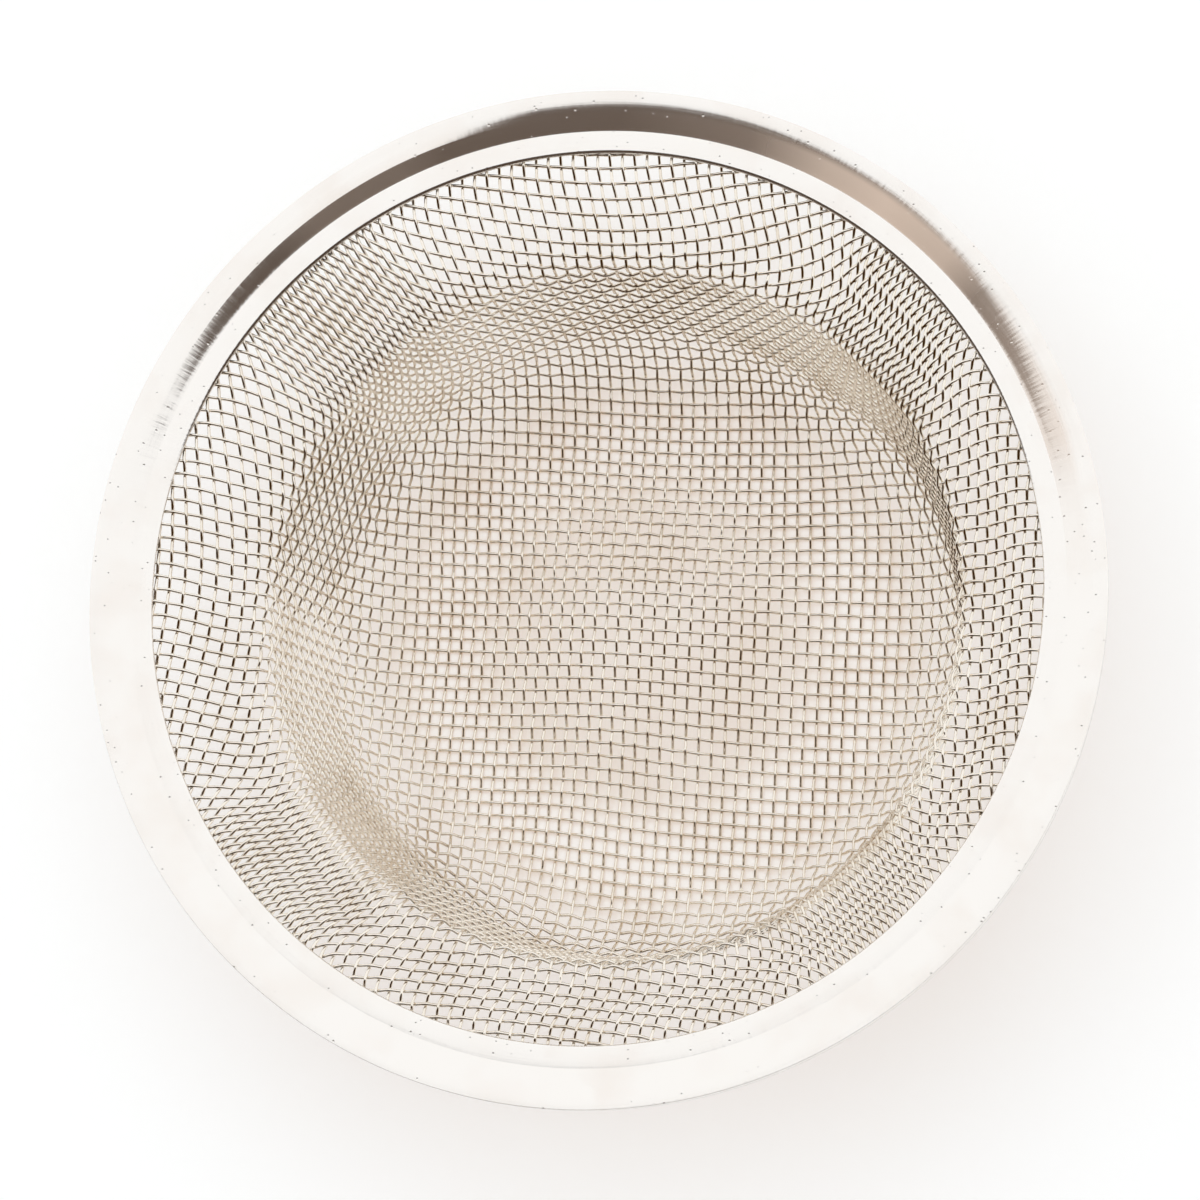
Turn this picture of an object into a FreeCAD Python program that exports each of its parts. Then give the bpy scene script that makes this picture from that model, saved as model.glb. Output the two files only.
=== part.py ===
import FreeCAD, Part
import math
import os

# Sink strainer. A round of plain-woven stainless wire cloth is pressed into a basket with a
# sloping flange, a steep well and a domed floor. A band of sheet, folded over the cut edge of
# the cloth, makes the rim. Millimetres, +Z up, origin on the table under the basket's centre.

# Basket, measured on the middle of the cloth
WELL_MOUTH_DIAMETER = 78.5  # where the lines of wall and flange would meet
FLANGE_WIDTH = 10.75  # from the well mouth out to the rim opening
FLANGE_SLOPE = 11.0  # degrees, rising outward
BASKET_DEPTH = 28.3  # from the clamped edge of the cloth down to the lowest ring
WALL_DRAFT = 10.0  # degrees off the vertical
SHOULDER_RADIUS = 3.5  # bend from wall to flange
FLOOR_CORNER_RADIUS = 10.0  # bend from floor to wall
FLOOR_FLAT_WIDTH = 1.5  # flat ring that the strainer stands on
DOME_HEIGHT = 4.0  # middle of the floor above the flat ring
CLAMP_BEND_RADIUS = 2.0  # bend from the flange into the rim fold

# Wire cloth
WIRE_DIAMETER = 0.33
WARP_PITCH = 1.41  # 18 wires to the inch
WEFT_PITCH = 1.48  # 17 wires to the inch
WEAVE_CLEARANCE = 0.08  # between the two layers of wires where they cross
WIRE_SIDES = 6  # flats round a wire that stand for its circle
STRIPS = 21  # nodes of neighbouring wires that each layer is shared among

# Rim band
RIM_SHEET = 0.4  # thickness of the sheet
RIM_LIP_WIDTH = 2.6  # flat lip from the opening to the crease
RIM_BEAD_WIDTH = 4.4  # raised bead from the crease to the outer edge
RIM_BEAD_HEIGHT = 0.9  # top of the bead above the lip
RIM_EDGE_RADIUS = 0.5  # outside of the bend from the bead into the rim's side
RIM_FOLD_RADIUS = 0.55  # outside of the fold from the side into the leg
RIM_LEG_SETBACK = 0.4  # leg under the cloth, back from the opening
CLAMP_CLEARANCE = 0.05  # between cloth and sheet, on each face
CLOTH_EDGE_GAP = 1.5  # cut edge of the cloth, short of the inside of the fold

# Sizes that follow from those above. The flats have the same section as the round wire.
FLATS_AREA = WIRE_SIDES / 2 * math.sin(2 * math.pi / WIRE_SIDES)
WIRE_CORNER_RADIUS = WIRE_DIAMETER / 2 * math.sqrt(math.pi / FLATS_AREA)
WIRE_FLAT_RADIUS = WIRE_CORNER_RADIUS * math.cos(math.pi / WIRE_SIDES)
LAYER_OFFSET = WIRE_FLAT_RADIUS + WEAVE_CLEARANCE / 2
CLOTH_HALF = LAYER_OFFSET + WIRE_FLAT_RADIUS
FLOOR_HEIGHT = CLOTH_HALF
CLAMP_HEIGHT = FLOOR_HEIGHT + BASKET_DEPTH
OPENING_RADIUS = WELL_MOUTH_DIAMETER / 2 + FLANGE_WIDTH
CREASE_RADIUS = OPENING_RADIUS + RIM_LIP_WIDTH
RIM_RADIUS = CREASE_RADIUS + RIM_BEAD_WIDTH
CLOTH_RADIUS = RIM_RADIUS - RIM_SHEET - CLOTH_EDGE_GAP

# How finely the cloth is followed
NEWTON_STEPS = 60
NEWTON_LIMIT = 0.35  # longest step, in pitches
CLOSE_ENOUGH = 1e-9
SHORTEST_END = 0.4  # a wire's last stretch into the rim fold, in pitches
BEND_STEP = math.radians(5.0)  # turn of a wire between two points of its line
CROSSINGS_STEP = 2  # most crossings between two points of its line


class Meridian:
    """The basket's profile as runs of steady bend, followed from the centre outward."""

    def __init__(self):
        slope = math.radians(FLANGE_SLOPE)
        wall = math.radians(90.0 - WALL_DRAFT)
        shoulder_cut = SHOULDER_RADIUS * math.tan((wall - slope) / 2)
        corner_cut = FLOOR_CORNER_RADIUS * math.tan(wall / 2)
        clamp_cut = CLAMP_BEND_RADIUS * math.tan(slope / 2)
        wall_height = BASKET_DEPTH - FLANGE_WIDTH * math.tan(slope)
        wall_run = wall_height / math.sin(wall) - corner_cut - shoulder_cut
        flange_run = FLANGE_WIDTH / math.cos(slope) - shoulder_cut - clamp_cut
        wall_foot = WELL_MOUTH_DIAMETER / 2 - wall_height / math.tan(wall)
        dome_radius = wall_foot - corner_cut - FLOOR_FLAT_WIDTH
        dome_turn = 2 * math.atan2(DOME_HEIGHT, dome_radius)
        dome_bend = dome_radius / math.sin(dome_turn) / 2
        clamp_run = CLOTH_RADIUS - OPENING_RADIUS - clamp_cut
        self.runs = []
        self.end = (0.0, FLOOR_HEIGHT + DOME_HEIGHT, 0.0)
        self.length = 0.0
        self.add_bend(-dome_turn, dome_bend)
        self.add_bend(dome_turn, dome_bend)
        self.add_straight(FLOOR_FLAT_WIDTH)
        self.add_bend(wall, FLOOR_CORNER_RADIUS)
        self.add_straight(wall_run)
        self.add_bend(slope - wall, SHOULDER_RADIUS)
        self.add_straight(flange_run)
        self.add_bend(-slope, CLAMP_BEND_RADIUS)
        self.add_straight(clamp_run)

    def add_bend(self, turn, radius):
        """Adds an arc that turns the profile's heading, upward where turn is positive."""
        self.add_run(abs(turn) * radius, math.copysign(1 / radius, turn))

    def add_straight(self, length):
        """Adds a straight run along the present heading."""
        self.add_run(length, 0.0)

    def add_run(self, length, curvature):
        """Adds a run and moves the profile's end to the end of it."""
        self.runs.append((self.length, self.end, curvature))
        self.end = along_run(self.end, curvature, length)
        self.length += length

    def at(self, distance):
        """Gives radius, height and heading at a distance along the profile."""
        found = self.runs[0]
        for run in self.runs:
            if run[0] > distance:
                break
            found = run
        begin, start, curvature = found
        return along_run(start, curvature, distance - begin)


def along_run(start, curvature, length):
    """Gives radius, height and heading at a length along a run of steady bend."""
    radius, height, heading = start
    if curvature == 0.0:
        return radius + length * math.cos(heading), height + length * math.sin(heading), heading
    turned = heading + curvature * length
    radius += (math.sin(turned) - math.sin(heading)) / curvature
    height += (math.cos(heading) - math.cos(turned)) / curvature
    return radius, height, turned


def cloth_point(meridian, place):
    """Gives the point of the cloth at a place, a pair of profile distance and angle."""
    radius, height = meridian.at(place[0])[:2]
    return FreeCAD.Vector(radius * math.cos(place[1]), radius * math.sin(place[1]), height)


def cloth_normal(meridian, place):
    """Gives the direction square to the cloth, toward the inside of the basket."""
    heading = meridian.at(place[0])[2]
    inward = -math.sin(heading)
    return FreeCAD.Vector(inward * math.cos(place[1]), inward * math.sin(place[1]), math.cos(heading))


def next_on_axis(meridian, distance, pitch):
    """Finds the profile distance one pitch, measured straight, beyond another."""
    start = cloth_point(meridian, (distance, 0.0))
    near = distance
    far = distance + 2 * pitch
    while far - near > CLOSE_ENOUGH:
        middle = (near + far) / 2
        if cloth_point(meridian, (middle, 0.0)).distanceToPoint(start) < pitch:
            near = middle
        else:
            far = middle
    return near


def next_crossing(meridian, left, below, behind):
    """Finds the crossing that closes one cell of the cloth, or None past the cut edge.

    The wires keep their lengths between crossings and the cell turns in its corners, as woven
    cloth does when it is pressed. left, below and behind are the cell's other crossings.
    """
    from_left = cloth_point(meridian, left)
    from_below = cloth_point(meridian, below)
    guess = from_left + from_below - cloth_point(meridian, behind)
    distance = max(left[0], below[0]) + WARP_PITCH / 2
    angle = math.atan2(guess.y, guess.x)
    longest = NEWTON_LIMIT * min(WARP_PITCH, WEFT_PITCH)
    for _ in range(NEWTON_STEPS):
        radius, height, heading = meridian.at(distance)
        outward = FreeCAD.Vector(math.cos(angle), math.sin(angle), 0.0)
        around = FreeCAD.Vector(-math.sin(angle), math.cos(angle), 0.0)
        point = outward * radius + FreeCAD.Vector(0.0, 0.0, height)
        rise = outward * math.cos(heading) + FreeCAD.Vector(0.0, 0.0, math.sin(heading))
        to_left = point - from_left
        to_below = point - from_below
        error_left = (to_left.dot(to_left) - WARP_PITCH**2) / 2
        error_below = (to_below.dot(to_below) - WEFT_PITCH**2) / 2
        determinant = to_left.dot(rise) * to_below.dot(around) - to_left.dot(around) * to_below.dot(rise)
        move = (error_below * to_left.dot(around) - error_left * to_below.dot(around)) / determinant
        swing = (error_left * to_below.dot(rise) - error_below * to_left.dot(rise)) / determinant
        shorten = min(1.0, longest / max(abs(move), abs(swing), CLOSE_ENOUGH))
        distance += move * shorten
        angle += swing * shorten / radius
        if max(abs(move), abs(swing)) < CLOSE_ENOUGH:
            break
    return (distance, angle) if distance < meridian.length else None


def drape(meridian):
    """Lays the cloth on one quarter of the basket and gives the place of each crossing."""
    places = {(0, 0): (0.0, 0.0)}
    for axis, pitch, angle in ((0, WARP_PITCH, 0.0), (1, WEFT_PITCH, math.pi / 2)):
        count = 0
        distance = next_on_axis(meridian, 0.0, pitch)
        while distance < meridian.length:
            count += 1
            places[(count, 0) if axis == 0 else (0, count)] = (distance, angle)
            distance = next_on_axis(meridian, distance, pitch)
    for warp in range(1, 1 + max(place[0] for place in places)):
        weft = 1
        while (warp - 1, weft) in places and (warp, weft - 1) in places:
            beside = places[(warp - 1, weft)], places[(warp, weft - 1)]
            place = next_crossing(meridian, *beside, places[(warp - 1, weft - 1)])
            if place is None:
                break
            places[(warp, weft)] = place
            weft += 1
    return places


def mirrored(place, warp, weft):
    """Moves a place of the first quarter to the quarter that two signed counts name."""
    distance, angle = place
    angle = angle if weft >= 0 else -angle
    return distance, angle if warp >= 0 else math.pi - angle


def edge_point(inner, outer):
    """Runs a wire's last stretch straight on, in plan, to the cut edge of the cloth."""
    step = FreeCAD.Vector(outer.x - inner.x, outer.y - inner.y, 0.0)
    start = FreeCAD.Vector(outer.x, outer.y, 0.0)
    half = start.dot(step) / step.dot(step)
    reach = math.sqrt(half**2 + (CLOTH_RADIUS**2 - start.dot(start)) / step.dot(step)) - half
    end = start + step * reach
    return FreeCAD.Vector(end.x, end.y, CLAMP_HEIGHT)


def wire_path(meridian, crossings, offset):
    """Gives a wire's middle line and the cloth's direction at each of its points.

    crossings lists the places along the wire, and offset is its layer's height over the middle
    of the cloth. Both ends run on into the rim fold.
    """
    line = [cloth_point(meridian, place) for place in crossings]
    normals = [cloth_normal(meridian, place) for place in crossings]
    pitch = line[0].distanceToPoint(line[1])
    first = edge_point(line[1], line[0])
    last = edge_point(line[-2], line[-1])
    first_short = first.distanceToPoint(line[0]) < SHORTEST_END * pitch
    last_short = last.distanceToPoint(line[-1]) < SHORTEST_END * pitch
    inner = slice(1 if first_short else 0, len(line) - 1 if last_short else len(line))
    upright = FreeCAD.Vector(0.0, 0.0, 1.0)
    line = [first] + line[inner] + [last]
    normals = [upright] + normals[inner] + [upright]
    return [middle + normal * offset for middle, normal in zip(line, normals)], normals


def points_to_keep(line):
    """Picks the points that a wire's line needs, close together where it bends."""
    kept = [0]
    for place in range(1, len(line) - 1):
        leaving = line[kept[-1] + 1] - line[kept[-1]]
        going_on = line[place + 1] - line[place]
        if leaving.getAngle(going_on) > BEND_STEP or place - kept[-1] == CROSSINGS_STEP:
            kept.append(place)
    return kept + [len(line) - 1]


def wire_corners(line, normals):
    """Gives the lines of points along a wire's edges, between its flats."""
    corners = [[] for side in range(WIRE_SIDES)]
    for place in points_to_keep(line):
        along = line[min(place + 1, len(line) - 1)] - line[max(place - 1, 0)]
        along.normalize()
        across = along.cross(normals[place]).normalize()
        up = across.cross(along)
        for side, corner in enumerate(corners):
            turn = (2 * side + 1) * math.pi / WIRE_SIDES
            out = up * math.cos(turn) + across * math.sin(turn)
            corner.append(line[place] + out * WIRE_CORNER_RADIUS)
    return corners


def wire_solid(corners):
    """Makes one wire from the lines of points along its edges."""
    lengths = [0.0]
    for start, end in zip(corners[0], corners[0][1:]):
        lengths.append(lengths[-1] + end.distanceToPoint(start))
    edges = []
    for corner in corners:
        curve = Part.BSplineCurve()
        curve.interpolate(Points=corner, Parameters=lengths)
        edges.append(curve.toShape())
    faces = [Part.makeRuledSurface(edge, beside) for edge, beside in zip(edges, edges[1:] + edges[:1])]
    for end in (0, -1):
        outline = [corner[end] for corner in corners]
        faces.append(Part.Face(Part.makePolygon(outline + outline[:1])))
    shell = Part.makeShell(faces)
    shell.sewShape()
    solid = Part.Solid(shell)
    if solid.Volume < 0:
        solid.reverse()
    return solid


def warp_wires(meridian, places):
    """Makes the wires of the outer layer, which run along Y, in order along X."""
    most = max(warp for warp, weft in places)
    wires = []
    for count in range(-most, most + 1):
        reach = max(weft for warp, weft in places if warp == abs(count))
        crossings = []
        for weft in range(-reach, reach + 1):
            crossings.append(mirrored(places[(abs(count), abs(weft))], count, weft))
        if reach > 0:
            wires.append(wire_solid(wire_corners(*wire_path(meridian, crossings, -LAYER_OFFSET))))
    return wires


def weft_wires(meridian, places):
    """Makes the wires of the inner layer, which run along X, in order along Y."""
    most = max(weft for warp, weft in places)
    wires = []
    for count in range(-most, most + 1):
        reach = max(warp for warp, weft in places if weft == abs(count))
        crossings = []
        for warp in range(-reach, reach + 1):
            crossings.append(mirrored(places[(abs(warp), abs(count))], warp, count))
        if reach > 0:
            wires.append(wire_solid(wire_corners(*wire_path(meridian, crossings, LAYER_OFFSET))))
    return wires


def arc_through(centre, radius, begin, end):
    """Makes an arc in the XZ plane between two angles, in radians from +X toward +Z."""
    points = []
    for angle in (begin, (begin + end) / 2, end):
        points.append(centre + FreeCAD.Vector(math.cos(angle), 0.0, math.sin(angle)) * radius)
    return Part.Arc(*points).toShape()


def rim_band():
    """Makes the folded band: lip, crease, bead, side, fold and the leg under the cloth."""
    lip_under = CLAMP_HEIGHT + CLOTH_HALF + CLAMP_CLEARANCE
    lip_top = lip_under + RIM_SHEET
    leg_top = CLAMP_HEIGHT - CLOTH_HALF - CLAMP_CLEARANCE
    leg_under = leg_top - RIM_SHEET
    bead_top = lip_top + RIM_BEAD_HEIGHT
    fold_centre = FreeCAD.Vector(RIM_RADIUS - RIM_FOLD_RADIUS, 0.0, leg_under + RIM_FOLD_RADIUS)
    edge_centre = FreeCAD.Vector(RIM_RADIUS - RIM_EDGE_RADIUS, 0.0, bead_top - RIM_EDGE_RADIUS)
    rise_run = edge_centre.x - CREASE_RADIUS
    inner_bend = (rise_run**2 + RIM_BEAD_HEIGHT**2) / (2 * RIM_BEAD_HEIGHT)
    inner_centre = FreeCAD.Vector(edge_centre.x, 0.0, bead_top - inner_bend)
    crease_angle = math.pi - math.asin((lip_top - inner_centre.z) / inner_bend)
    inside_bend = inner_bend - RIM_SHEET
    inside_angle = math.pi - math.asin((lip_under - inner_centre.z) / inside_bend)
    quarter = math.pi / 2
    outside = [
        arc_through(inner_centre, inner_bend, crease_angle, quarter),
        arc_through(edge_centre, RIM_EDGE_RADIUS, quarter, 0.0),
        arc_through(fold_centre, RIM_FOLD_RADIUS, 0.0, -quarter),
    ]
    inside = [
        arc_through(fold_centre, RIM_FOLD_RADIUS - RIM_SHEET, -quarter, 0.0),
        arc_through(edge_centre, RIM_EDGE_RADIUS - RIM_SHEET, 0.0, quarter),
        arc_through(inner_centre, inside_bend, quarter, inside_angle),
    ]
    leg_radius = OPENING_RADIUS + RIM_LEG_SETBACK
    lip_end = inner_centre.x + inside_bend * math.cos(inside_angle)
    lip = [
        FreeCAD.Vector(lip_end, 0.0, lip_under),
        FreeCAD.Vector(OPENING_RADIUS, 0.0, lip_under),
        FreeCAD.Vector(OPENING_RADIUS, 0.0, lip_top),
        FreeCAD.Vector(CREASE_RADIUS, 0.0, lip_top),
    ]
    leg = [
        FreeCAD.Vector(fold_centre.x, 0.0, leg_under),
        FreeCAD.Vector(leg_radius, 0.0, leg_under),
        FreeCAD.Vector(leg_radius, 0.0, leg_top),
        FreeCAD.Vector(fold_centre.x, 0.0, leg_top),
    ]
    edges = outside + inside + Part.makePolygon(lip).Edges + Part.makePolygon(leg).Edges
    for radius in (RIM_RADIUS, RIM_RADIUS - RIM_SHEET):
        side_top = FreeCAD.Vector(radius, 0.0, edge_centre.z)
        edges.append(Part.makeLine(side_top, FreeCAD.Vector(radius, 0.0, fold_centre.z)))
    section = Part.Face(Part.Wire(Part.sortEdges(edges)[0]))
    return section.revolve(FreeCAD.Vector(), FreeCAD.Vector(0.0, 0.0, 1.0), 360.0)


def strips(wires, name):
    """Shares neighbouring wires among nodes, about as much wire to each, and names each node."""
    total = sum(wire.Volume for wire in wires)
    shares = [[] for number in range(STRIPS)]
    passed = 0.0
    for wire in wires:
        shares[int((passed + wire.Volume / 2) / total * STRIPS)].append(wire)
        passed += wire.Volume
    return {f"{name}_{number:02d}": Part.makeCompound(share) for number, share in enumerate(shares, 1)}


def main():
    """Builds every node and writes one file for each."""
    meridian = Meridian()
    places = drape(meridian)
    nodes = {"rim_band": rim_band()}
    nodes.update(strips(warp_wires(meridian, places), "warp_wires"))
    nodes.update(strips(weft_wires(meridian, places), "weft_wires"))
    os.makedirs("parts", exist_ok=True)
    for name, shape in nodes.items():
        shape.exportStep(f"parts/{name}.step")
        print(name, len(shape.Solids), "solids", round(shape.Volume, 2), "mm3")


main()
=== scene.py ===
"""Sink strainer of pressed wire cloth in a folded rim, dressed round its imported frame."""

import logging
import math
from dataclasses import dataclass, field
from enum import Enum

import bpy
import numpy as np
from mathutils import Matrix, Vector


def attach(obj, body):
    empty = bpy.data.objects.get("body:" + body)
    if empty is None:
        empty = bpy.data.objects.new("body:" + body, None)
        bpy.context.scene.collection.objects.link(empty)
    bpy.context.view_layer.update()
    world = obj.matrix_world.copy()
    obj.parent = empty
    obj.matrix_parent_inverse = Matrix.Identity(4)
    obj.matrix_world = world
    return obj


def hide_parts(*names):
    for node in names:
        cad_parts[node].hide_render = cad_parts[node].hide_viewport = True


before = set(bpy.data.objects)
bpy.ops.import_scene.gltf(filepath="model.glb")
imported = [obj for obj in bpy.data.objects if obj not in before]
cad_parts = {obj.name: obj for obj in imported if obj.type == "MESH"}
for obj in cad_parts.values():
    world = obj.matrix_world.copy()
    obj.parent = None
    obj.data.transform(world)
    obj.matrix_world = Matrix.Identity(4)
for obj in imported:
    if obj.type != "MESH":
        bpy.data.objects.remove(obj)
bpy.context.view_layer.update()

MM = 0.001
BODY = "root"
QUARTER = math.pi / 2
log = logging.getLogger("strainer")

Colour = tuple[float, float, float, float]
Span = tuple[float, float]
Stops = tuple[Span, ...]
Place = tuple[float, float]
Bend = tuple[float, float, float]
Net = dict[tuple[int, int], Place]
Tree = bpy.types.NodeTree
Node = bpy.types.Node
Socket = bpy.types.NodeSocket


class Layer(Enum):
    """The two sets of wires in the cloth."""

    WARP = "warp"
    WEFT = "weft"


def linear(code: str) -> Colour:
    """Turns an sRGB hex colour into linear values.

    Args:
        code: Six hex digits with a leading #.

    Returns:
        Red, green, blue and a full alpha.
    """
    parts = [int(code[k : k + 2], 16) / 255 for k in (1, 3, 5)]
    parts = [c / 12.92 if c <= 0.04045 else ((c + 0.055) / 1.055) ** 2.4 for c in parts]
    return (parts[0], parts[1], parts[2], 1.0)


def add_node(tree: Tree, kind: str, sockets: dict | None = None, **settings: object) -> Node:
    """Adds one node with its settings, values and links.

    Args:
        tree: Node tree that takes the node.
        kind: Blender's name of the node type.
        sockets: Value or source socket for each named or numbered input.
        settings: Properties of the node itself.

    Returns:
        The new node.
    """
    made = tree.nodes.new(kind)
    for name, value in settings.items():
        setattr(made, name, value)
    for key, value in (sockets or {}).items():
        if isinstance(value, bpy.types.NodeSocket):
            tree.links.new(value, made.inputs[key])
        else:
            made.inputs[key].default_value = value
    return made


def reckon(tree: Tree, operation: str, *values: Socket | float) -> Socket:
    """Adds a maths node and gives its result."""
    return add_node(tree, "ShaderNodeMath", dict(enumerate(values)), operation=operation).outputs[0]


def spread(
    tree: Tree, value: Socket, limits: Span, ends: Span = (0.0, 1.0), **settings: object
) -> Socket:
    """Spreads a range of a value over another range, held at both ends.

    Args:
        tree: Node tree that takes the node.
        value: The value.
        limits: Where the range of the value begins and ends.
        ends: What it becomes there.
        settings: Properties of the node itself.

    Returns:
        The result.
    """
    sockets = {"Value": value, "From Min": limits[0], "From Max": limits[1]}
    sockets |= {"To Min": ends[0], "To Max": ends[1]}
    return add_node(tree, "ShaderNodeMapRange", sockets, **settings).outputs["Result"]


def noise(tree: Tree, where: Socket, size_mm: float, detail: float) -> Socket:
    """Adds noise with patches of about one size and gives its strength."""
    sockets = {"Vector": where, "Scale": 1 / (size_mm * MM), "Detail": detail}
    return add_node(tree, "ShaderNodeTexNoise", sockets).outputs["Fac"]


def blend(tree: Tree, share: Socket, first: Colour, second: Colour) -> Socket:
    """Blends from a first colour to a second one."""
    sockets = {"Factor": share, "A": first, "B": second}
    return add_node(tree, "ShaderNodeMix", sockets, data_type="RGBA").outputs["Result"]


def new_material(name: str) -> tuple[bpy.types.Material, Tree, Node]:
    """Makes an empty node material.

    Args:
        name: Name of the material.

    Returns:
        The material, its node tree and its output node.
    """
    made = bpy.data.materials.new(name)
    made.use_nodes = True
    made.node_tree.nodes.clear()
    return made, made.node_tree, made.node_tree.nodes.new("ShaderNodeOutputMaterial")


def settle(piece: bpy.types.Object, replaced: list[str]) -> None:
    """Ties a finished piece to the frame and reports it.

    Args:
        piece: The finished mesh object.
        replaced: CAD nodes that the piece stands for.
    """
    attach(piece, BODY)
    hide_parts(*replaced)
    log.info("%s: %d faces for %d nodes", piece.name, len(piece.data.polygons), len(replaced))


@dataclass(frozen=True)
class DrawnWire:
    """Bright drawn stainless wire: a round mirror, with a warm grey tarnish in places."""

    bright: str = "#f8f2e8"
    tarnish: str = "#e6dbcb"
    tarnish_mm: float = 9.0
    tarnish_span: Span = (0.48, 0.75)
    roughness: float = 0.06
    rough_span: Span = (0.7, 1.4)
    scratch_mm: float = 0.35

    def material(self) -> bpy.types.Material:
        """Builds the wire's material.

        Returns:
            The material.
        """
        made, tree, out = new_material("drawn_stainless_wire")
        where = add_node(tree, "ShaderNodeTexCoord").outputs["Object"]
        stain = spread(tree, noise(tree, where, self.tarnish_mm, detail=4.0), self.tarnish_span)
        # Drawing marks are finer than the render shows, so they are as coarse as the wire is thick.
        marks = noise(tree, where, self.scratch_mm, detail=2.0)
        least, most = (self.roughness * share for share in self.rough_span)
        shader = add_node(
            tree,
            "ShaderNodeBsdfPrincipled",
            {
                "Base Color": blend(tree, stain, linear(self.bright), linear(self.tarnish)),
                "Metallic": 1.0,
                "Roughness": spread(tree, marks, (0.0, 1.0), (least, most)),
            },
        )
        tree.links.new(shader.outputs["BSDF"], out.inputs["Surface"])
        return made


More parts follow.
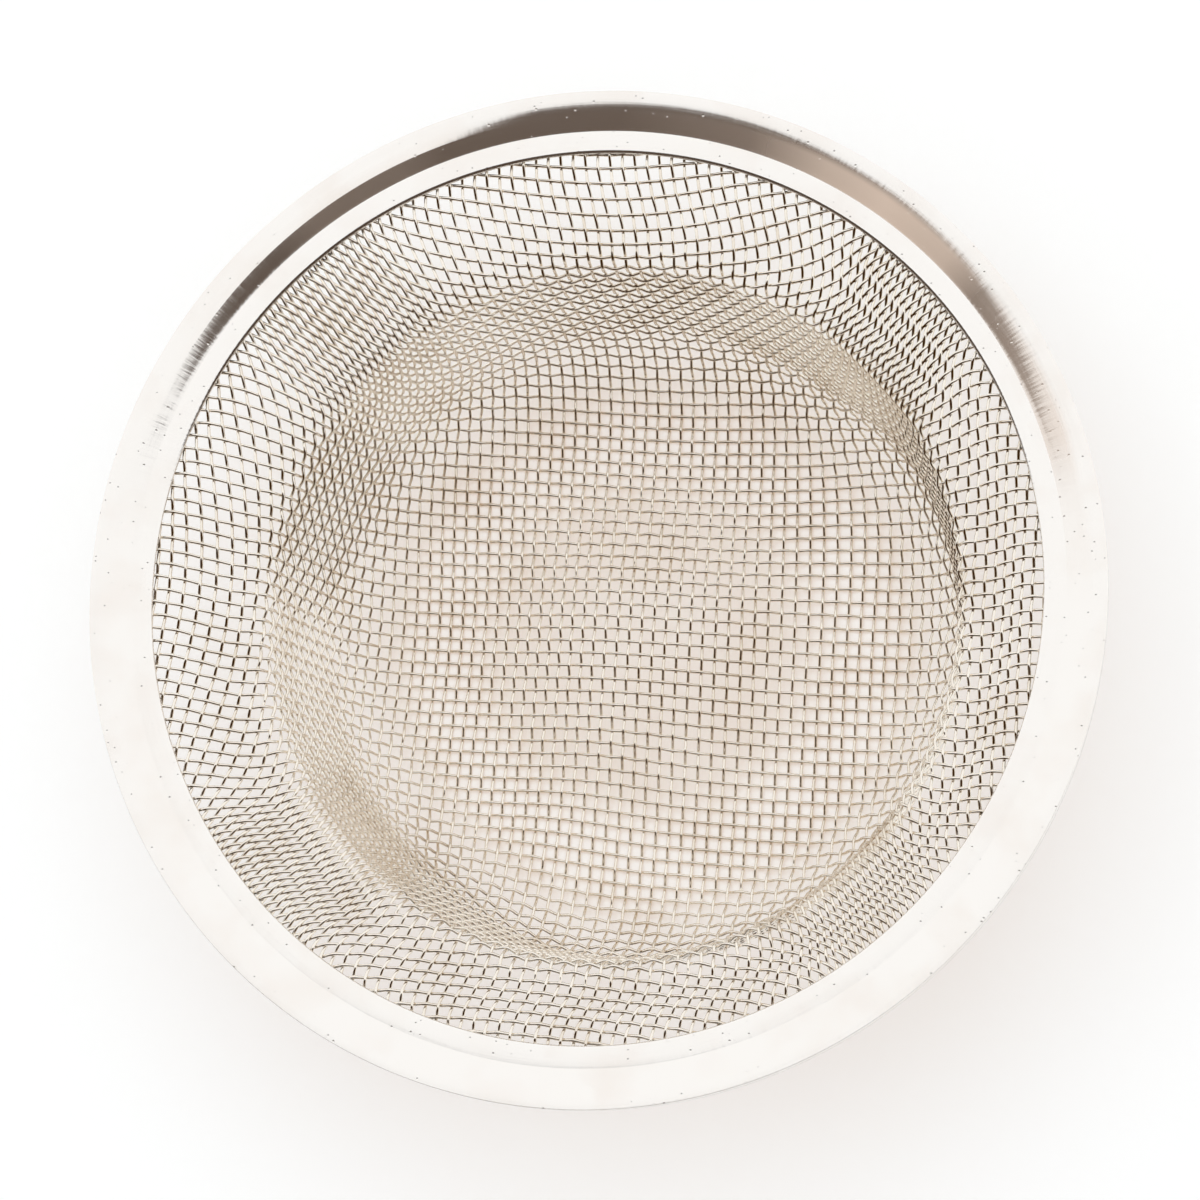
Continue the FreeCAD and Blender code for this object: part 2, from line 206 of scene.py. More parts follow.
@dataclass(frozen=True)
class PolishedSheet:
    """Polished stainless sheet: a bright mirror with faint spun streaks, pits and dull patches, and a
    painted reflection on the far half of its bead.
    """

    bright: str = "#faf7f3"
    dull: str = "#f5efe9"
    polish: float = 0.96
    patch_mm: float = 7.0
    patch_span: Span = (0.45, 0.8)
    roughness: float = 0.12
    rough_span: Span = (0.6, 1.6)
    streak_mm: float = 0.28
    streak_length_mm: float = 14.0
    streak_height: float = 0.25
    ripple_mm: float = 0.6
    ripple_length_mm: float = 5.0
    ripple_height: float = 0.8
    pit_mm: float = 1.1
    pit_span: Span = (0.05, 0.14)
    relief_mm: float = 0.04
    relief_strength: float = 0.35
    # Painted reflection: a pale brownish diffuse layer that lightens and tints the dark band the bead
    # mirrors, set by turn round the rim and distance across it.
    painted_reflection: str = "#d8c3b2"
    painted_reflection_turns: Stops = (
        (0.0, 0.0), (14.0, 0.1), (20.0, 0.45), (30.0, 0.35), (40.0, 0.3), (46.0, 0.75),
        (56.0, 0.88), (64.0, 0.7), (74.0, 0.2), (90.0, 0.07), (112.0, 0.07), (118.0, 0.14),
        (130.0, 0.14), (136.0, 0.04), (150.0, 0.04), (160.0, 0.0),
    )
    painted_reflection_start_mm: float = 0.1
    painted_reflection_reach_mm: float = 2.6
    painted_reflection_fade: Span = (0.7, 1.2)
    flat_turns: Stops = ((100.0, 0.0), (116.0, 1.0), (160.0, 1.0), (176.0, 0.0))
    flat_start_mm: float = 1.7
    flat_drop_mm: float = 0.22

    def material(self) -> bpy.types.Material:
        """Builds the rim's material.

        Returns:
            The material.
        """
        made, tree, out = new_material("polished_stainless_sheet")
        where = add_node(tree, "ShaderNodeTexCoord").outputs["Object"]
        place = add_node(tree, "ShaderNodeSeparateXYZ", {"Vector": where})
        kind, level = "ShaderNodeVectorMath", {0: where, 1: (1.0, 1.0, 0.0)}
        flat = add_node(tree, kind, level, operation="MULTIPLY").outputs["Vector"]
        radius = add_node(tree, kind, {0: flat}, operation="LENGTH").outputs["Value"]
        outward = add_node(tree, kind, {0: flat}, operation="NORMALIZE").outputs["Vector"]
        across = reckon(tree, "ADD", radius, place.outputs["Z"])
        streak = self.drawn_noise(
            tree, (outward, across), (self.streak_length_mm, self.streak_mm), detail=3.0
        )
        ripple = self.drawn_noise(
            tree, (outward, radius), (self.ripple_mm, self.ripple_length_mm), detail=2.0
        )
        dulled = spread(tree, noise(tree, where, self.patch_mm, detail=5.0), self.patch_span)
        least, most = (self.roughness * share for share in self.rough_span)
        bump = self.relief(tree, where, streak, ripple)
        shader = add_node(
            tree,
            "ShaderNodeBsdfPrincipled",
            {
                "Base Color": blend(tree, dulled, linear(self.bright), linear(self.dull)),
                "Metallic": self.polish,
                "Roughness": spread(tree, streak, (0.0, 1.0), (least, most)),
                "Normal": self.flattened(tree, radius, place, bump),
            },
        )
        # A pale brownish diffuse layer mixed in here paints a lighter, warmer reflection into the
        # bead's mirrored dark band.
        painted_reflection = add_node(tree, "ShaderNodeBsdfDiffuse", {"Color": linear(self.painted_reflection)})
        layers = {1: shader.outputs["BSDF"], 2: painted_reflection.outputs["BSDF"]}
        painted_reflection_amount = self.painted_reflection_share(tree, radius, place)
        dressed = add_node(tree, "ShaderNodeMixShader", {"Fac": painted_reflection_amount, **layers})
        tree.links.new(dressed.outputs["Shader"], out.inputs["Surface"])
        return made

    @staticmethod
    def drawn_noise(tree: Tree, ways: tuple[Socket, Socket], sizes: Span, detail: float) -> Socket:
        """Adds noise of different sizes round the rim and across it.

        Args:
            tree: Node tree of the material.
            ways: Direction outward from the strainer's axis, and distance across the sheet.
            sizes: Sizes round the rim and across it, in millimetres.
            detail: How much finer noise is added.

        Returns:
            The noise's strength.
        """
        turns = RimBand.outer_radius / sizes[0]
        stretch = {0: ways[0], 1: (turns, turns, 0.0)}
        along = add_node(tree, "ShaderNodeVectorMath", stretch, operation="MULTIPLY")
        depth = reckon(tree, "MULTIPLY", ways[1], 1 / (sizes[1] * MM))
        lift = add_node(tree, "ShaderNodeCombineXYZ", {"Z": depth})
        both = {0: along.outputs["Vector"], 1: lift.outputs["Vector"]}
        spun = add_node(tree, "ShaderNodeVectorMath", both, operation="ADD")
        sockets = {"Vector": spun.outputs["Vector"], "Scale": 1.0, "Detail": detail}
        return add_node(tree, "ShaderNodeTexNoise", sockets).outputs["Fac"]

    def relief(self, tree: Tree, where: Socket, streak: Socket, ripple: Socket) -> Socket:
        """Raises streaks and ripples and sinks pits.

        Args:
            tree: Node tree of the material.
            where: Coordinates on the rim.
            streak: Noise of the spun streaks.
            ripple: Noise of the ripples.

        Returns:
            The direction square to the relief.
        """
        sockets = {"Vector": where, "Scale": 1 / (self.pit_mm * MM), "Randomness": 1.0}
        pits = add_node(tree, "ShaderNodeTexVoronoi", sockets).outputs["Distance"]
        pitted = spread(tree, pits, self.pit_span)
        streaked = reckon(tree, "MULTIPLY_ADD", streak, self.streak_height, pitted)
        waved = reckon(tree, "MULTIPLY_ADD", ripple, self.ripple_height, streaked)
        sockets = {"Height": waved, "Strength": self.relief_strength, "Distance": self.relief_mm * MM}
        return add_node(tree, "ShaderNodeBump", sockets).outputs["Normal"]

    def flattened(self, tree: Tree, radius: Socket, place: Node, bump: Socket) -> Socket:
        """Flattens the outer part of the bead on one stretch, as the press left it.

        Args:
            tree: Node tree of the material.
            radius: Distance from the strainer's axis.
            place: Node with the separate coordinates.
            bump: Direction square to the finer relief.

        Returns:
            The direction square to the sheet.
        """
        limits = ((RimBand.crease_radius + self.flat_start_mm) * MM, RimBand.outer_radius * MM)
        rest = spread(tree, radius, limits, (1.0, 0.0))
        curve = reckon(tree, "MULTIPLY", rest, rest)
        fall = reckon(tree, "MULTIPLY", curve, self.round_share(tree, place, self.flat_turns))
        sockets = {"Height": fall, "Distance": self.flat_drop_mm * MM, "Normal": bump}
        return add_node(tree, "ShaderNodeBump", sockets).outputs["Normal"]

    @staticmethod
    def round_share(tree: Tree, place: Node, stops: Stops) -> Socket:
        """Spreads a share round the far half of the rim.

        Args:
            tree: Node tree of the material.
            place: Node with the separate coordinates.
            stops: Degrees round the rim, and the share there.

        Returns:
            The share, from 0 to 1.
        """
        turn = reckon(tree, "ARCTAN2", place.outputs["Y"], place.outputs["X"])
        ramp = add_node(tree, "ShaderNodeValToRGB", {"Fac": spread(tree, turn, (0.0, math.pi))})
        ramp.color_ramp.elements[1].color = (0.0, 0.0, 0.0, 1.0)
        for degrees, share in stops:
            ramp.color_ramp.elements.new(degrees / 180).color = (share, share, share, 1.0)
        return ramp.outputs["Color"]

    def painted_reflection_share(self, tree: Tree, radius: Socket, place: Node) -> Socket:
        """Works out where a painted reflection, a pale brownish diffuse layer, lightens and tints the
        dark band that the far half of the bead mirrors.

        Args:
            tree: Node tree of the material.
            radius: Distance from the strainer's axis.
            place: Node with the separate coordinates.

        Returns:
            The painted reflection's share, from 0 to 1.
        """
        crease = RimBand.crease_radius * MM
        start = spread(tree, radius, (crease - self.painted_reflection_start_mm * MM, crease))
        inner, outer = (crease + self.painted_reflection_reach_mm * share * MM for share in self.painted_reflection_fade)
        end = spread(tree, radius, (inner, outer), (1.0, 0.0), interpolation_type="SMOOTHSTEP")
        across = reckon(tree, "MULTIPLY", start, end)
        return reckon(tree, "MULTIPLY", across, self.round_share(tree, place, self.painted_reflection_turns))


@dataclass
class PressedProfile:
    """Profile of the pressed cloth, in millimetres, as runs of steady bend from the centre outward."""

    mouth_radius: float = 39.25
    flange_width: float = 10.75
    flange_slope: float = math.radians(11.0)
    depth: float = 28.3
    wall_angle: float = math.radians(80.0)
    shoulder_radius: float = 3.5
    corner_radius: float = 10.0
    flat_width: float = 1.5
    dome_height: float = 4.0
    clamp_bend: float = 2.0
    cloth_radius: float = 55.1
    floor_height: float = 0.354
    drift: tuple[float, float] = (1.5, -1.2)
    drift_ends: Span = (41.5, 49.5)
    steeper: float = 2.5
    steep_turn: float = math.radians(-34.0)
    steep_spread: float = 2.5
    runs: list[tuple[float, Bend, float]] = field(default_factory=list)
    length: float = 0.0
    samples: np.ndarray | None = None
    sample_step: float = 0.05

    def __post_init__(self) -> None:
        """Works out the runs from the sizes."""
        shoulder_turn = self.wall_angle - self.flange_slope
        shoulder_cut = self.shoulder_radius * math.tan(shoulder_turn / 2)
        corner_cut = self.corner_radius * math.tan(self.wall_angle / 2)
        clamp_cut = self.clamp_bend * math.tan(self.flange_slope / 2)
        wall_height = self.depth - self.flange_width * math.tan(self.flange_slope)
        wall_run = wall_height / math.tan(self.wall_angle)
        dome_radius = self.mouth_radius - wall_run - corner_cut - self.flat_width
        dome_turn = 2 * math.atan2(self.dome_height, dome_radius)
        dome_bend = dome_radius / math.sin(dome_turn) / 2
        opening = self.mouth_radius + self.flange_width
        end: Bend = (0.0, self.floor_height + self.dome_height, 0.0)
        for length, curvature in (
            (dome_turn * dome_bend, -1 / dome_bend),
            (dome_turn * dome_bend, 1 / dome_bend),
            (self.flat_width, 0.0),
            (self.wall_angle * self.corner_radius, 1 / self.corner_radius),
            (wall_height / math.sin(self.wall_angle) - corner_cut - shoulder_cut, 0.0),
            (shoulder_turn * self.shoulder_radius, -1 / self.shoulder_radius),
            (self.flange_width / math.cos(self.flange_slope) - shoulder_cut - clamp_cut, 0.0),
            (self.flange_slope * self.clamp_bend, -1 / self.clamp_bend),
            (self.cloth_radius - opening - clamp_cut, 0.0),
        ):
            self.runs.append((self.length, end, curvature))
            end = self.along(end, curvature, length)
            self.length += length
        # The cloth that is trimmed off after pressing lies a little beyond the edge.
        reach = np.arange(0.0, self.length + 2 * self.clamp_bend, self.sample_step)
        self.samples = np.array([(distance, *self.at(distance)) for distance in reach])

    @staticmethod
    def along(start: Bend, curvature: float, length: float) -> Bend:
        """Follows a run of steady bend.

        Args:
            start: Radius, height and heading where the run begins.
            curvature: Turn per millimetre, upward where positive.
            length: Length along the run.

        Returns:
            Radius, height and heading at that length.
        """
        radius, height, heading = start
        if curvature == 0.0:
            return radius + length * math.cos(heading), height + length * math.sin(heading), heading
        turned = heading + curvature * length
        radius += (math.sin(turned) - math.sin(heading)) / curvature
        height += (math.cos(heading) - math.cos(turned)) / curvature
        return radius, height, turned

    def at(self, distance: float) -> Bend:
        """Gives radius, height and heading at a distance from the centre along the profile."""
        begin, start, curvature = [run for run in self.runs if run[0] <= distance][-1]
        return self.along(start, curvature, distance - begin)

    def point(self, place: Place) -> Vector:
        """Gives the point at a profile distance and angle."""
        radius, height, _ = self.at(place[0])
        return Vector((radius * math.cos(place[1]), radius * math.sin(place[1]), height))

    def points(
        self, distance: np.ndarray, angle: np.ndarray
    ) -> tuple[np.ndarray, np.ndarray, np.ndarray]:
        """Gives many points at once.

        Args:
            distance: Profile distances.
            angle: Angles round the basket.

        Returns:
            The points, the headings of the profile and the directions square to the cloth there.
        """
        table = self.samples.T
        radius, height, heading = (np.interp(distance, table[0], column) for column in table[1:])
        points = np.stack([radius * np.cos(angle), radius * np.sin(angle), height], axis=-1)
        inward = -np.sin(heading)
        square = np.stack([inward * np.cos(angle), inward * np.sin(angle), np.cos(heading)], axis=-1)
        return points, heading, square

    def nearest(self, point: Vector) -> float:
        """Gives the profile distance of the cloth nearest to a point.

        Args:
            point: A point near the cloth.

        Returns:
            The distance, never quite 0, where the angle has no meaning.
        """
        sideways = self.samples[:, 1] - math.hypot(point.x, point.y)
        away = np.hypot(sideways, self.samples[:, 2] - point.z)
        return max(float(self.samples[np.argmin(away), 0]), self.sample_step)

    @staticmethod
    def eased(part: float) -> float:
        """Turns a share below 0 to above 1 into one that leaves 0 and reaches 1 softly."""
        held = min(max(part, 0.0), 1.0)
        return held * held * (3 - 2 * held)

    def pressed_point(self, place: Place) -> Vector:
        """Puts the well off the rim's centre and makes it steeper on one side, as the press left it.

        Args:
            place: Profile distance and angle.

        Returns:
            The point there.
        """
        point = self.point(place)
        outward = Vector((point.x, point.y, 0.0))
        inner, outer = self.drift_ends
        share = self.eased((outer - outward.length) / (outer - inner))
        near = Vector((math.cos(self.steep_turn), math.sin(self.steep_turn), 0.0))
        side = self.eased(self.steep_spread * near.dot(outward) / self.mouth_radius)
        sunk = 1 - point.z / (self.floor_height + self.depth)
        widened = outward * (self.steeper / self.mouth_radius * sunk * side)
        return point + (Vector((*self.drift, 0.0)) + widened) * share

    def normal(self, place: Place) -> Vector:
        """Gives the direction square to the cloth, toward the inside of the basket.

        Args:
            place: Profile distance and angle.

        Returns:
            The direction, one long.
        """
        heading = self.at(place[0])[2]
        inward = -math.sin(heading)
        return Vector((inward * math.cos(place[1]), inward * math.sin(place[1]), math.cos(heading)))


@dataclass
class WireBasket:
    """Basket of plain-woven wires that pass over and under each other, in millimetres."""

    profile: PressedProfile = field(default_factory=PressedProfile)
    wire: float = 0.4
    wire_rounding: int = 1
    warp_pitch: float = 1.41
    weft_pitch: float = 1.48
    crimp: float = 0.203
    steps: int = 4
    shares: int = 3
    strips: int = 21
    middle: Place = (3.0, math.radians(-8.0))
    fine_steps: int = 20
    newton_steps: int = 60
    newton_limit: float = 0.35
    close_enough: float = 1e-9
    near_enough: float = 1e-5
    jam_angle: float = math.radians(38.0)
    give: float = 0.1
    spring: float = 0.15
    rounds: int = 900
    finish: DrawnWire = DrawnWire()

    def straight_wire(self, aim: float, pitch: float) -> list[Place]:
        """Follows a wire that runs straight over the cloth from its middle to its edge.

        Args:
            aim: Direction in which the wire leaves, seen from above.
            pitch: Spacing of the wires that it crosses.

        Returns:
            Its crossings beyond the middle.
        """
        distance, angle = self.middle
        lean, step, places = aim - angle, pitch / self.fine_steps, []
        while distance < self.profile.length:
            places.append((distance, angle))
            for _ in range(self.fine_steps):
                radius, _, heading = self.profile.at(distance)
                distance += step * math.cos(lean)
                angle += step * math.sin(lean) / radius
                lean -= step * math.sin(lean) * math.cos(heading) / radius
        return places[1:]

    def next_crossing(self, left: Place, below: Place, behind: Place) -> Place | None:
        """Finds the crossing that closes a cell whose wires keep their lengths.

        Args:
            left: Crossing before it along the weft.
            below: Crossing before it along the warp.
            behind: Crossing across the cell.

        Returns:
            Its profile distance and angle, or None past the cut edge of the cloth.
        """
        from_left, from_below = self.profile.point(left), self.profile.point(below)
        guess = from_left + from_below - self.profile.point(behind)
        distance, angle = self.profile.nearest(guess), math.atan2(guess.y, guess.x)
        longest = self.newton_limit * min(self.warp_pitch, self.weft_pitch)
        for _ in range(self.newton_steps):
            radius, height, heading = self.profile.at(distance)
            outward = Vector((math.cos(angle), math.sin(angle), 0.0))
            around = Vector((-math.sin(angle), math.cos(angle), 0.0))
            point = outward * radius + Vector((0.0, 0.0, height))
            rise = outward * math.cos(heading) + Vector((0.0, 0.0, math.sin(heading)))
            to_left, to_below = point - from_left, point - from_below
            left_rise, left_around = to_left.dot(rise), to_left.dot(around)
            below_rise, below_around = to_below.dot(rise), to_below.dot(around)
            error_left = (to_left.dot(to_left) - self.warp_pitch**2) / 2
            error_below = (to_below.dot(to_below) - self.weft_pitch**2) / 2
            bottom = left_rise * below_around - left_around * below_rise
            move = (error_below * left_around - error_left * below_around) / bottom
            swing = (error_left * below_rise - error_below * left_rise) / bottom
            largest = max(abs(move), abs(swing), self.close_enough)
            shorten = min(1.0, longest / largest)
            distance += move * shorten
            angle += swing * shorten / radius
            if distance < 0.0:
                distance, angle = -distance, angle + math.pi
            if largest < self.near_enough:
                break
        return (distance, angle) if distance < self.profile.length else None

    def drape(self) -> Net:
        """Lays the cloth on the basket, outward from two straight wires through its middle.

        Returns:
            Profile distance and angle of each crossing, by its warp and weft counts.
        """
        places: Net = {(0, 0): self.middle}
        for turn, (warp, weft) in enumerate(((1, 0), (0, 1), (-1, 0), (0, -1))):
            pitch = self.warp_pitch if warp else self.weft_pitch
            for count, place in enumerate(self.straight_wire(turn * QUARTER, pitch), start=1):
                places[(warp * count, weft * count)] = place
        for across, along in ((1, 1), (-1, 1), (-1, -1), (1, -1)):
            warp = across
            while (warp, 0) in places:
                weft = along
                while (warp - across, weft) in places and (warp, weft - along) in places:
                    left, below = places[(warp - across, weft)], places[(warp, weft - along)]
                    place = self.next_crossing(left, below, places[(warp - across, weft - along)])
                    if place is None:
                        break
                    places[(warp, weft)] = place
                    weft += along
                warp += across
        return places

    def pull(self, points: np.ndarray, square: np.ndarray) -> np.ndarray:
        """Works out how far the wires move each crossing.

        Args:
            points: The crossings, not a number where there is no cloth.
            square: Direction square to the cloth at each.

        Returns:
            The moves.
        """
        moves = np.zeros_like(points)
        near, far, whole = slice(0, -1), slice(1, None), slice(None)
        jam = 2 * math.sqrt(self.warp_pitch * self.weft_pitch) * math.sin(self.jam_angle / 2)
        for first, second, rest, slack in (
            ((near, whole), (far, whole), self.warp_pitch, False),
            ((whole, near), (whole, far), self.weft_pitch, False),
            ((near, near), (far, far), jam, True),
            ((far, near), (near, far), jam, True),
        ):
            span = points[second] - points[first]
            length = np.linalg.norm(span, axis=-1, keepdims=True)
            excess = np.minimum(length - rest, 0.0) if slack else length - rest
            move = np.nan_to_num(span / length * excess * self.give)
            moves[first] += move
            moves[second] -= move
        begin, middle, end = slice(0, -2), slice(1, -1), slice(2, None)
        for before, here, after in (
            ((begin, whole), (middle, whole), (end, whole)),
            ((whole, begin), (whole, middle), (whole, end)),
        ):
            kink = (points[before] + points[after]) / 2 - points[here]
            kink -= square[here] * np.sum(kink * square[here], axis=-1, keepdims=True)
            kink = np.nan_to_num(kink) * self.spring / 2
            moves[here] += kink
            moves[before] -= kink / 2
            moves[after] -= kink / 2
        return moves

    def jammed(self, places: Net) -> Net:
        """Lets the cloth give where its wires jam, so that its sheared corners widen as in the press.

        Args:
            places: Crossings with wires free to close like scissors.

        Returns:
            The crossings on the trimmed cloth after it has given.
        """
        least = np.min(list(places), axis=0)
        counts = np.max(list(places), axis=0) - least + 1
        distance, angle = np.full(counts, np.nan), np.full(counts, np.nan)
        cells = {key: tuple(key - least) for key in places}
        for key, place in places.items():
            distance[cells[key]], angle[cells[key]] = place
        for _ in range(self.rounds):
            points, heading, square = self.profile.points(distance, angle)
            moved = points + self.pull(points, square)
            outward = np.hypot(moved[..., 0], moved[..., 1]) - np.hypot(points[..., 0], points[..., 1])
            upward = moved[..., 2] - points[..., 2]
            distance = distance + outward * np.cos(heading) + upward * np.sin(heading)
            angle = np.arctan2(moved[..., 1], moved[..., 0])
        given = {key: (float(distance[cell]), float(angle[cell])) for key, cell in cells.items()}
        return {key: place for key, place in given.items() if place[0] < self.profile.length}

    def crossings(self, places: Net, layer: Layer) -> list[list[tuple[Place, int]]]:
        """Lists the crossings along every wire of a layer, in order across the basket.

        Args:
            places: All crossings.
            layer: Warp or weft.

        Returns:
            For each wire, its places and whether it passes over (1) or under (-1) there.
        """
        own, over = (0, 1) if layer is Layer.WARP else (1, -1)
        wires: dict[int, list[tuple[Place, int]]] = {}
        for key in sorted(places):
            side = over if sum(key) % 2 == 0 else -over
            wires.setdefault(key[own], []).append((places[key], side))
        return [wires[count] for count in sorted(wires) if len(wires[count]) > 1]

    def cut_end(self, inner: Vector, outer: Vector) -> Vector:
        """Runs a wire's last stretch straight on, in plan, to the cut edge of the cloth.

        Args:
            inner: Last crossing but one.
            outer: Last crossing.

        Returns:
            The end of the wire.
        """
        step = Vector((outer.x - inner.x, outer.y - inner.y, 0.0))
        start = Vector((outer.x, outer.y, 0.0))
        half = start.dot(step) / step.dot(step)
        spare = (self.profile.cloth_radius**2 - start.dot(start)) / step.dot(step)
        end = start + step * (math.sqrt(half**2 + spare) - half)
        return Vector((end.x, end.y, self.profile.floor_height + self.profile.depth))

    def bent_line(self, crossings: list[tuple[Place, int]]) -> list[Vector]:
        """Draws a wire's middle line with its bends over and under the wires that it crosses.

        Args:
            crossings: Places along the wire, with over or under.

        Returns:
            Points close together along the wire.
        """
        line = [self.profile.pressed_point(place) for place, _ in crossings]
        upward = [self.profile.normal(place) for place, _ in crossings]
        sides = [side for _, side in crossings]
        first, last = self.cut_end(line[1], line[0]), self.cut_end(line[-2], line[-1])
        upright = Vector((0.0, 0.0, 1.0))
        line, upward = [first, *line, last], [upright, *upward, upright]
        sides = [-sides[0], *sides, -sides[-1]]
        points = []
        for k in range(len(line) - 1):
            begin, end = line[k], line[k + 1]
            before, after = line[max(k - 1, 0)], line[min(k + 2, len(line) - 1)]
            for step in range(self.steps):
                part = step / self.steps
                point = (
                    begin * (2 * part**3 - 3 * part**2 + 1)
                    + (end - before) / 2 * (part**3 - 2 * part**2 + part)
                    + end * (3 * part**2 - 2 * part**3)
                    + (after - begin) / 2 * (part**3 - part**2)
                )
                lift = sides[k] * math.cos(math.pi * part) * self.crimp
                points.append(point + upward[k].lerp(upward[k + 1], part).normalized() * lift)
        points.append(line[-1] + upward[-1] * sides[-1] * self.crimp)
        return points

    def share_out(self, lines: list[list[Vector]]) -> list[list[list[Vector]]]:
        """Shares neighbouring wires among pieces, about as much wire to each.

        Args:
            lines: Middle lines in order across the basket.

        Returns:
            The lines of each piece.
        """
        lengths = [sum((b - a).length for a, b in zip(line, line[1:])) for line in lines]
        shared: list[list[list[Vector]]] = [[] for _ in range(self.shares)]
        passed = 0.0
        for line, length in zip(lines, lengths):
            shared[int((passed + length / 2) / sum(lengths) * self.shares)].append(line)
            passed += length
        return shared

    def draw_wires(self, name: str, lines: list[list[Vector]]) -> bpy.types.Object:
        """Draws wires as curves with a round section and turns them into one mesh.

        Args:
            name: Name of the piece.
            lines: Middle lines of its wires.

        Returns:
            The mesh object.
        """
        curve = bpy.data.curves.new(name, "CURVE")
        curve.dimensions = "3D"
        curve.bevel_depth = self.wire / 2 * MM
        curve.bevel_resolution = self.wire_rounding
        curve.use_fill_caps = True
        for line in lines:
            spline = curve.splines.new("POLY")
            spline.points.add(len(line) - 1)
            corners = [c for p in line for c in (p.x * MM, p.y * MM, p.z * MM, 1.0)]
            spline.points.foreach_set("co", corners)
            spline.use_smooth = True
        piece = bpy.data.objects.new(name, curve)
        bpy.context.scene.collection.objects.link(piece)
        bpy.ops.object.select_all(action="DESELECT")
        piece.select_set(True)
        bpy.context.view_layer.objects.active = piece
        bpy.ops.object.convert(target="MESH")
        bpy.ops.object.shade_smooth()
        return bpy.context.view_layer.objects.active

    def build(self) -> None:
        """Makes and dresses the wires of both layers."""
        places = self.jammed(self.drape())
        material = self.finish.material()
        each = self.strips // self.shares
        for layer in Layer:
            lines = [self.bent_line(wire) for wire in self.crossings(places, layer)]
            for number, share in enumerate(self.share_out(lines)):
                piece = self.draw_wires(f"woven_{layer.value}_{number + 1}", share)
                piece.data.materials.clear()
                piece.data.materials.append(material)
                strips = range(number * each + 1, (number + 1) * each + 1)
                settle(piece, [f"{layer.value}_wires_{strip:02d}" for strip in strips])


@dataclass
class RimBand:
    """Folded band of sheet round the cut edge of the cloth, in millimetres."""

    opening_radius: float = 50.0
    crease_radius: float = 52.6
    crease_land: float = 0.12
    outer_radius: float = 57.0
    lip_top: float = 29.458
    bead_height: float = 0.9
    lip_roll: float = 0.35
    edge_radius: float = 0.02
    fold_radius: float = 0.55
    leg_under: float = 27.85
    leg_setback: float = 0.4
    sheet: float = 0.4
    segments: int = 288
    bead_steps: int = 9
    edge_steps: int = 6
    roll_steps: int = 5
    soft_width: float = 0.03
    soft_segments: int = 2
    soft_angle: float = math.radians(40.0)
    smooth_angle: float = math.radians(35.0)
    finish: PolishedSheet = PolishedSheet()

    @staticmethod
    def arc(centre: Place, radius: float, turns: Span, steps: int) -> list[Place]:
        """Lists points along an arc of the section.

        Args:
            centre: Its centre.
            radius: Its radius.
            turns: Where it begins and ends, as angles upward from the outward direction.
            steps: How many parts it has.

        Returns:
            Radius and height of each point.
        """
        angles = [turns[0] + (turns[1] - turns[0]) * step / steps for step in range(steps + 1)]
        return [(centre[0] + radius * math.cos(a), centre[1] + radius * math.sin(a)) for a in angles]

    def stations(self) -> list[Place]:
        """Lists the outside of the band from the lip's edge round to the leg's edge.

        Returns:
            Radius and height of each ring.
        """
        bead_top = self.lip_top + self.bead_height
        edge_centre = (self.outer_radius - self.edge_radius, bead_top - self.edge_radius)
        fold_centre = (self.outer_radius - self.fold_radius, self.leg_under + self.fold_radius)
        roll_centre = (self.opening_radius + self.lip_roll, self.lip_top - self.lip_roll)
        run = edge_centre[0] - self.crease_radius
        bend = (run**2 + self.bead_height**2) / (2 * self.bead_height)
        bead_turns = (QUARTER + math.asin(run / bend), QUARTER)
        bead = self.arc((edge_centre[0], bead_top - bend), bend, bead_turns, self.bead_steps)
        # A ring close to the edge keeps the bead's shading level up to it.
        bead.insert(-1, (edge_centre[0] - self.edge_radius, bead_top))
        return [
            *self.arc(roll_centre, self.lip_roll, (math.pi, QUARTER), self.roll_steps),
            (self.crease_radius - self.crease_land, self.lip_top),
            *bead,
            *self.arc(edge_centre, self.edge_radius, (QUARTER, 0.0), self.edge_steps)[1:],
            *self.arc(fold_centre, self.fold_radius, (0.0, -QUARTER), self.roll_steps),
            (self.opening_radius + self.leg_setback, self.leg_under),
        ]

    def build(self) -> None:
        """Makes the band by extruding a ring along its section, and dresses it."""
        rings = self.stations()
        radius, height = rings[0]
        bpy.ops.object.select_all(action="DESELECT")
        bpy.ops.mesh.primitive_circle_add(
            vertices=self.segments,
            radius=radius * MM,
            fill_type="NOTHING",
            location=(0.0, 0.0, height * MM),
        )
        piece = bpy.context.view_layer.objects.active
        piece.name = "folded_rim"
        bpy.ops.object.transform_apply(location=True, rotation=True, scale=True)
        bpy.ops.object.mode_set(mode="EDIT")
        bpy.ops.mesh.select_all(action="SELECT")
        for radius_next, height_next in rings[1:]:
            grow = radius_next / radius
            bpy.ops.mesh.extrude_region()
            bpy.ops.transform.resize(value=(grow, grow, 1.0))
            bpy.ops.transform.translate(value=(0.0, 0.0, (height_next - height) * MM))
            radius, height = radius_next, height_next
        bpy.ops.mesh.select_all(action="SELECT")
        bpy.ops.mesh.normals_make_consistent(inside=False)
        bpy.ops.object.mode_set(mode="OBJECT")
        wall = piece.modifiers.new("sheet", "SOLIDIFY")
        wall.thickness = self.sheet * MM
        wall.offset = -1.0
        bpy.ops.object.modifier_apply(modifier=wall.name)
        soften = piece.modifiers.new("edges", "BEVEL")
        soften.width = self.soft_width * MM
        soften.segments = self.soft_segments
        soften.limit_method = "ANGLE"
        soften.angle_limit = self.soft_angle
        bpy.ops.object.modifier_apply(modifier=soften.name)
        bpy.ops.object.shade_smooth_by_angle(angle=self.smooth_angle)
        piece.data.materials.append(self.finish.material())
        settle(piece, ["rim_band"])


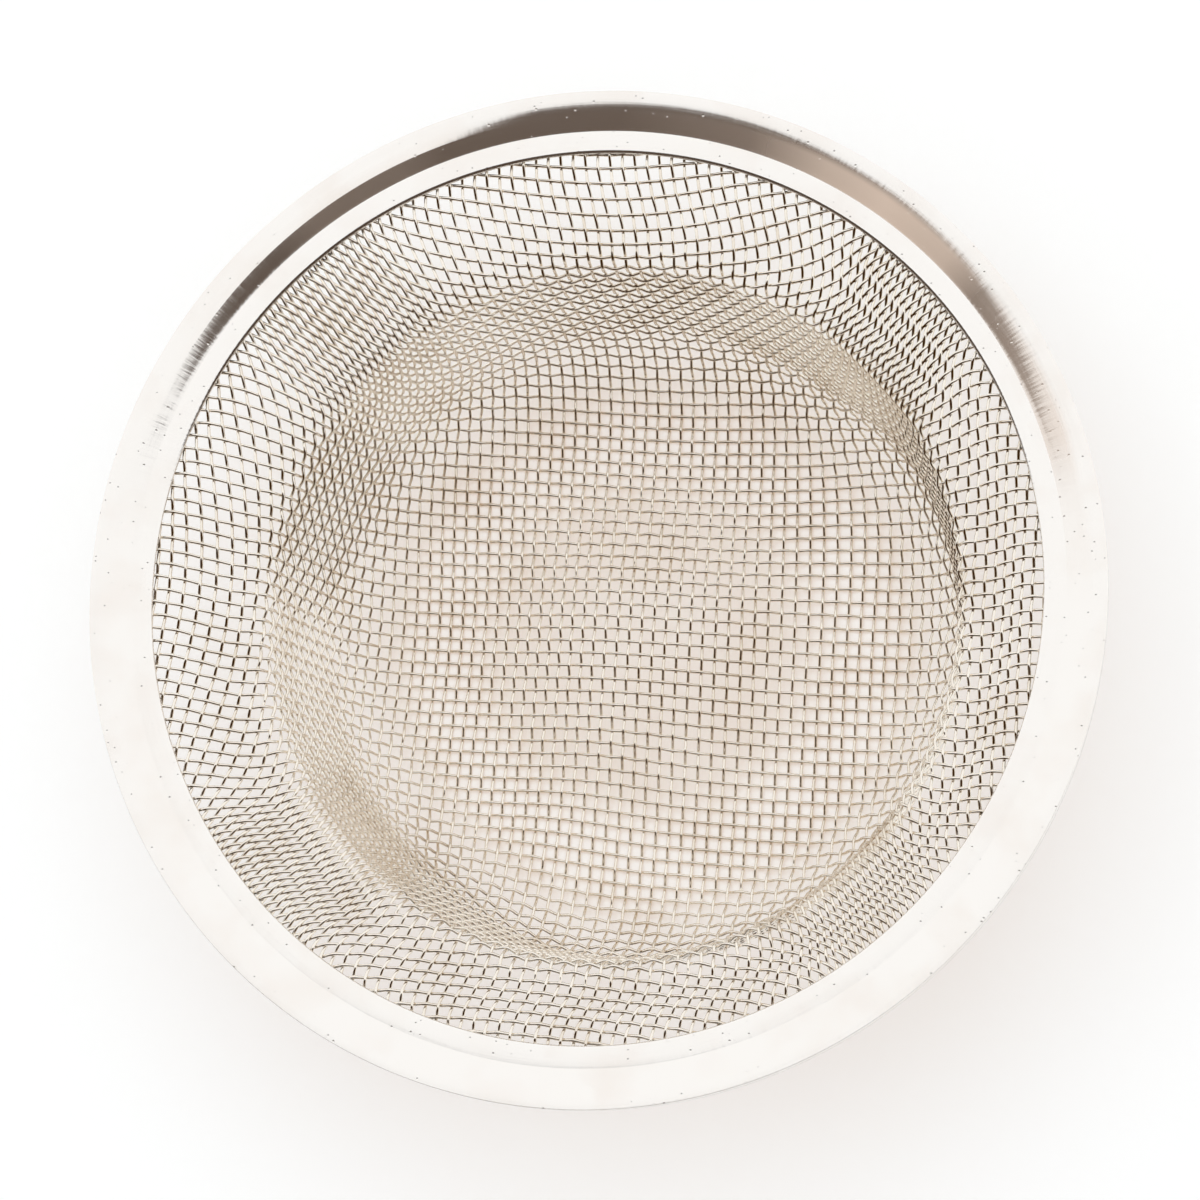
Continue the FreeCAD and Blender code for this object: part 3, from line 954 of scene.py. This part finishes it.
@dataclass
class Studio:
    """Pale table, soft white light with a dark near side, and the camera."""

    table_radius: float = 0.12
    table_corners: int = 96
    table_colour: str = "#cee6f1"
    table_glow: str = "#a9856c"
    dark_sides: Stops = ((math.radians(258.0), 0.012), (math.radians(278.5), -0.059))
    dark_colour: str = "#3a240c"
    blur: float = 0.016
    ambient: float = 0.78
    lamp_size: float = 1.0
    lamp_energy: float = 2.6
    lamp_place: tuple[float, float, float] = (-0.05, 0.25, 0.9)
    distance: float = 460.0
    nearest_seen: float = 0.01
    tilt: float = math.radians(14.3)
    toward: float = math.radians(-41.0)
    roll: float = math.radians(4.0)
    seen_width: float = 132.45
    aim: tuple[float, float] = (1.21, -0.99)
    aim_height: float = 29.46

    def lay_table(self) -> None:
        """Lays the pale table that the strainer stands on."""
        bpy.ops.object.select_all(action="DESELECT")
        bpy.ops.mesh.primitive_circle_add(
            vertices=self.table_corners, radius=self.table_radius, fill_type="NGON"
        )
        table = bpy.context.view_layer.objects.active
        table.name = "table"
        made, tree, out = new_material("pale_table")
        # A glow that only eyes and mirrors see makes the open table white, its shadows light and warm.
        path = add_node(tree, "ShaderNodeLightPath").outputs
        seen = reckon(tree, "ADD", path["Is Camera Ray"], path["Is Glossy Ray"])
        lit = add_node(tree, "ShaderNodeBsdfDiffuse", {"Color": linear(self.table_colour)})
        sockets = {"Color": linear(self.table_glow), "Strength": seen}
        glow = add_node(tree, "ShaderNodeEmission", sockets)
        sockets = {0: lit.outputs["BSDF"], 1: glow.outputs["Emission"]}
        both = add_node(tree, "ShaderNodeAddShader", sockets)
        tree.links.new(both.outputs["Shader"], out.inputs["Surface"])
        table.data.materials.append(made)

    def hang_light(self) -> None:
        """Surrounds the table with white light, and leaves the near side dark to mirrors."""
        world = bpy.data.worlds.new("studio")
        bpy.context.scene.world = world
        world.use_nodes = True
        tree = world.node_tree
        tree.nodes.clear()
        out = tree.nodes.new("ShaderNodeOutputWorld")
        look = add_node(tree, "ShaderNodeTexCoord").outputs["Generated"]
        sides = []
        for turn, reach in self.dark_sides:
            near = {0: look, 1: (math.cos(turn), math.sin(turn), 0.0)}
            side = add_node(tree, "ShaderNodeVectorMath", near, operation="DOT_PRODUCT")
            limits = (reach - self.blur, reach + self.blur)
            sides.append(spread(tree, side.outputs["Value"], limits, interpolation_type="SMOOTHSTEP"))
        path = add_node(tree, "ShaderNodeLightPath").outputs
        dark = reckon(tree, "MULTIPLY", reckon(tree, "MULTIPLY", *sides), path["Is Glossy Ray"])
        colour = blend(tree, dark, (1.0, 1.0, 1.0, 1.0), linear(self.dark_colour))
        strength = reckon(tree, "MULTIPLY_ADD", path["Is Diffuse Ray"], self.ambient - 1.0, 1.0)
        shine = add_node(tree, "ShaderNodeBackground", {"Color": colour, "Strength": strength})
        tree.links.new(shine.outputs["Background"], out.inputs["Surface"])
        lamp = bpy.data.lights.new("overhead", "AREA")
        lamp.shape = "DISK"
        lamp.size = self.lamp_size
        lamp.energy = self.lamp_energy
        hung = bpy.data.objects.new("overhead", lamp)
        hung.location = self.lamp_place
        hung.rotation_euler = (-hung.location).to_track_quat("-Z", "Y").to_euler()
        hung.visible_glossy = False
        bpy.context.scene.collection.objects.link(hung)

    def backward(self) -> Vector:
        """Gives the direction from the strainer to the camera."""
        away = math.sin(self.tilt)
        return Vector((away * math.cos(self.toward), away * math.sin(self.toward), math.cos(self.tilt)))

    def set_camera(self) -> None:
        """Places the camera almost above the strainer, a little toward one side."""
        back = self.backward()
        hint = Vector((-math.sin(self.roll), math.cos(self.roll), 0.0))
        right = (-back).cross(hint).normalized()
        up = right.cross(-back)
        aim = Vector((0.0, 0.0, self.aim_height)) + right * self.aim[0] + up * self.aim[1]
        lens = bpy.data.cameras.new("camera")
        lens.lens = lens.sensor_width * self.distance / self.seen_width
        lens.clip_start = self.nearest_seen
        camera = bpy.data.objects.new("camera", lens)
        turned = Matrix((right, up, back)).transposed().to_4x4()
        camera.matrix_world = Matrix.Translation((aim + back * self.distance) * MM) @ turned
        bpy.context.scene.collection.objects.link(camera)
        bpy.context.scene.camera = camera

    def build(self) -> None:
        """Sets up the table, the light and the camera."""
        self.lay_table()
        self.hang_light()
        self.set_camera()
        bpy.context.scene.view_settings.view_transform = "Standard"


def main() -> None:
    """Builds the strainer and its studio."""
    logging.basicConfig(level=logging.INFO, format="%(name)s %(message)s")
    WireBasket().build()
    RimBand().build()
    Studio().build()


if __name__ == "__main__":
    main()
